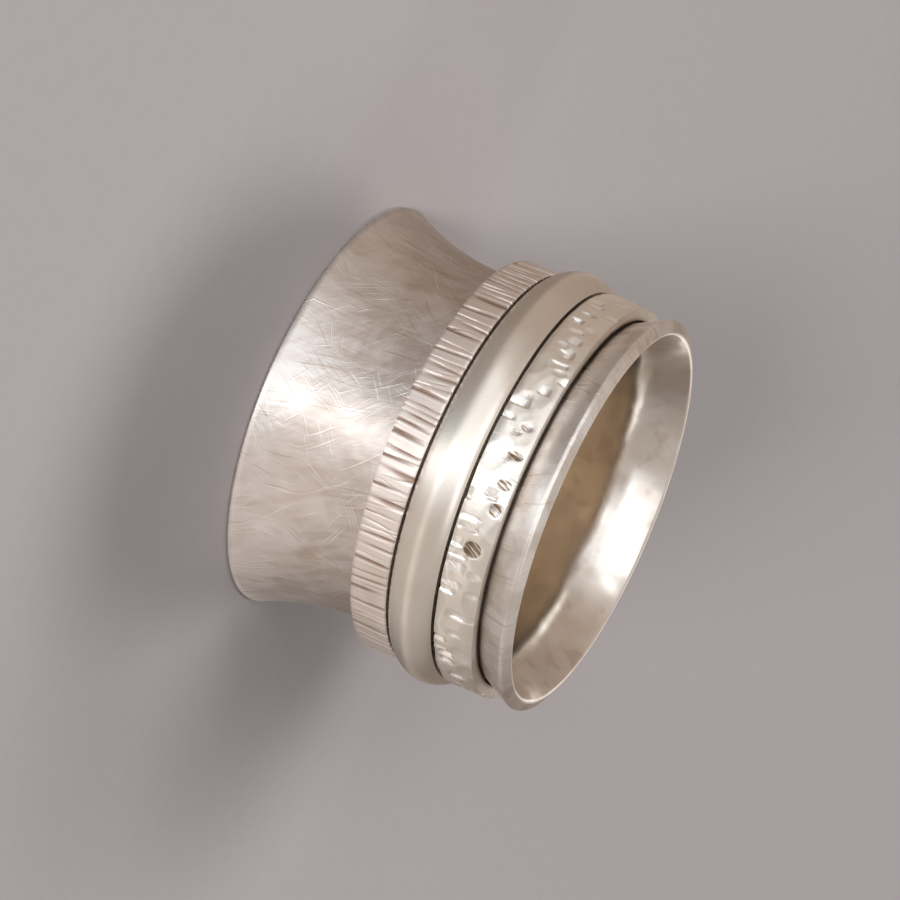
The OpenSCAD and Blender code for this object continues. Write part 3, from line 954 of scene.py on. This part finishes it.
def tent_material():
    """Follows the glows round the ring, and is dimmer over the floor."""
    material, n, glow = glow_material("tent_glow")
    x, y, height = n.parted(n.add("ShaderNodeTexCoord").outputs["Object"])
    turn = n.math("ARCTAN2", x, n.times(y, -1.0))
    part = n.ramp(turn, -math.pi, math.pi, smooth=False)
    wall = glow_ramp(n, part, LOW_GLOW)
    for glows, start, end in GLOW_LEVELS:
        wall = n.mix(n.ramp(height, start * MM, end * MM), wall, glow_ramp(n, part, glows))
    ceiling = n.ramp(height, CEILING_FROM * MM, CEILING_TO * MM)
    n.put(glow.inputs["Color"], n.mix(ceiling, wall, rgb([c / TENT_TOP_GLOW for c in CEILING_GLOW])))
    foot = n.ramp(height, TENT_FOOT_H * MM, TENT_FOOT_TO * MM, TENT_FOOT_SHARE, 1.0)
    n.put(glow.inputs["Strength"], n.times(foot, TENT_TOP_GLOW))
    return material


def only_for_metal(made):
    """Hides a light card from the camera and from the floor."""
    made.visible_camera = made.visible_diffuse = made.visible_shadow = made.visible_transmission = False


def make_tent():
    """A soft light tent all round the ring, brightest towards the camera."""
    st = studio()
    line = [(TENT_FOOT_R * MM, TENT_FOOT_H * MM), (st.tent_r, TENT_FOOT_H * MM)]
    line += [(st.tent_r * r, st.tent_h * h) for r, h in TENT_SHAPE]
    bm = swept(line, False, math.tau, TENT_STEPS)
    only_for_metal(stage_object("light_tent", bm, tent_material()))
    bm = bmesh.new()
    bmesh.ops.create_circle(bm, cap_ends=True, segments=BORE_GLOW_STEPS, radius=BORE_GLOW_R * MM)
    bmesh.ops.translate(bm, verts=bm.verts[:], vec=(0, 0, BORE_GLOW_H * MM))
    material, n, glow = glow_material("bore_glow")
    n.put(glow.inputs["Color"], rgb(st.bore_glow))
    only_for_metal(stage_object("bore_glow", bm, material))


# Soft lights for the floor: direction as in the glows, height in degrees, width in metres, power
SOFTBOXES = (
    ("back_softbox", -171, 42, 0.45, 7.6),
    ("low_softbox", 8, 6.5, 0.32, 36.0),
    ("low_left_softbox", -10, 9, 0.40, 5.0),
    ("front_softbox", -20, 25, 0.40, 4.5),
    ("high_softbox", -38, 52, 0.45, 3.2),
    ("right_softbox", 90, 30, 0.45, 1.5),
)
# How far the soft lights stand from the ring, in metres
SOFTBOX_FAR = 1.5


def add_softbox(name, turn, rise, width, power):
    turn, rise = math.radians(turn), math.radians(rise)
    light = bpy.data.lights.new(name, "AREA")
    light.shape = "DISK"
    light.size = width
    light.energy = power
    light.color = PALE
    made = bpy.data.objects.new(name, light)
    away = Vector((math.sin(turn) * math.cos(rise), -math.cos(turn) * math.cos(rise), math.sin(rise)))
    made.location = away * SOFTBOX_FAR
    made.rotation_euler = away.to_track_quat("Z", "Y").to_euler()
    made.visible_camera = False
    made.visible_glossy = False
    bpy.context.scene.collection.objects.link(made)


def make_lights():
    world = emptied(bpy.data.worlds.new("even_surround"))
    n = Nodes(world.node_tree)
    sky = n.add("ShaderNodeBackground", rgb(studio().surround), 1.0)
    n.add("ShaderNodeOutputWorld", sky.outputs[0])
    bpy.context.scene.world = world
    for softbox in SOFTBOXES:
        add_softbox(*softbox)


# The camera keeps the photograph's angle to the ring. Its roll is a share of "up" and "right"
CAMERA_PLACE = (0.0, -0.165878, 0.059199)
CAMERA_TARGET = (-0.000195, 0.0, 0.006961)
CAMERA_ROLL = (-0.38815, -0.92159)
# Width of its sensor in millimetres, and the nearest and farthest that it sees in metres
CAMERA_SENSOR, CAMERA_NEAR, CAMERA_FAR = 36, 0.01, 20


def make_camera():
    data = bpy.data.cameras.new("camera")
    data.lens = studio().lens
    data.sensor_width = CAMERA_SENSOR
    data.clip_start, data.clip_end = CAMERA_NEAR, CAMERA_FAR
    camera = bpy.data.objects.new("camera", data)
    ahead = (Vector(CAMERA_TARGET) - Vector(CAMERA_PLACE)).normalized()
    up = (Vector((0, 0, 1)) - ahead * ahead.z).normalized()
    right = ahead.cross(up)
    picture_up = (up * CAMERA_ROLL[0] + right * CAMERA_ROLL[1]).normalized()
    picture_right = ahead.cross(picture_up)
    turn = Matrix((picture_right, picture_up, -ahead)).transposed().to_4x4()
    camera.matrix_world = Matrix.Translation(CAMERA_PLACE) @ turn
    bpy.context.scene.collection.objects.link(camera)
    bpy.context.scene.camera = camera


# Operators and panel

class RING_OT_base_band(bpy.types.Operator):
    """Build the flared base band"""
    bl_idname = "spinner_ring.base_band"
    bl_label = "Base band"

    def execute(self, context):
        make_base_band()
        return {"FINISHED"}


class RING_OT_bark_band(bpy.types.Operator):
    """Build the loose bark-grooved band"""
    bl_idname = "spinner_ring.bark_band"
    bl_label = "Bark band"

    def execute(self, context):
        make_bark_band()
        return {"FINISHED"}


class RING_OT_domed_band(bpy.types.Operator):
    """Build the loose half-round band"""
    bl_idname = "spinner_ring.domed_band"
    bl_label = "Domed band"

    def execute(self, context):
        make_domed_band()
        return {"FINISHED"}


class RING_OT_hammered_band(bpy.types.Operator):
    """Build the loose hammered band"""
    bl_idname = "spinner_ring.hammered_band"
    bl_label = "Hammered band"

    def execute(self, context):
        make_hammered_band()
        return {"FINISHED"}


class RING_OT_stage(bpy.types.Operator):
    """Lay the floor, set the lights and place the camera"""
    bl_idname = "spinner_ring.stage"
    bl_label = "Floor, light and camera"

    def execute(self, context):
        make_floor()
        make_tent()
        make_lights()
        make_camera()
        context.scene.view_settings.view_transform = "Standard"
        return {"FINISHED"}


OPERATORS = (RING_OT_base_band, RING_OT_bark_band, RING_OT_domed_band, RING_OT_hammered_band, RING_OT_stage)


class RING_PT_panel(bpy.types.Panel):
    """Lists the ring's builders"""
    bl_idname = "RING_PT_panel"
    bl_label = "Spinner ring"
    bl_space_type = "VIEW_3D"
    bl_region_type = "UI"
    bl_category = "Spinner ring"

    def draw(self, context):
        for operator in OPERATORS:
            self.layout.operator(operator.bl_idname)
        for group in (sizes(), finishes(), studio()):
            box = self.layout.box()
            for key in group.__annotations__:
                box.prop(group, key)


SETTINGS = {"ring_sizes": RingSizes, "ring_finishes": RingFinishes, "ring_studio": StudioSettings}
CLASSES = (*SETTINGS.values(), *OPERATORS, RING_PT_panel)


def register():
    for cls in CLASSES:
        bpy.utils.register_class(cls)
    for key, group in SETTINGS.items():
        setattr(bpy.types.Scene, key, bpy.props.PointerProperty(type=group))


def unregister():
    for key in SETTINGS:
        delattr(bpy.types.Scene, key)
    for cls in reversed(CLASSES):
        bpy.utils.unregister_class(cls)


def main():
    register()
    bpy.ops.spinner_ring.base_band()
    bpy.ops.spinner_ring.bark_band()
    bpy.ops.spinner_ring.domed_band()
    bpy.ops.spinner_ring.hammered_band()
    bpy.ops.spinner_ring.stage()


if __name__ == "__main__":
    main()
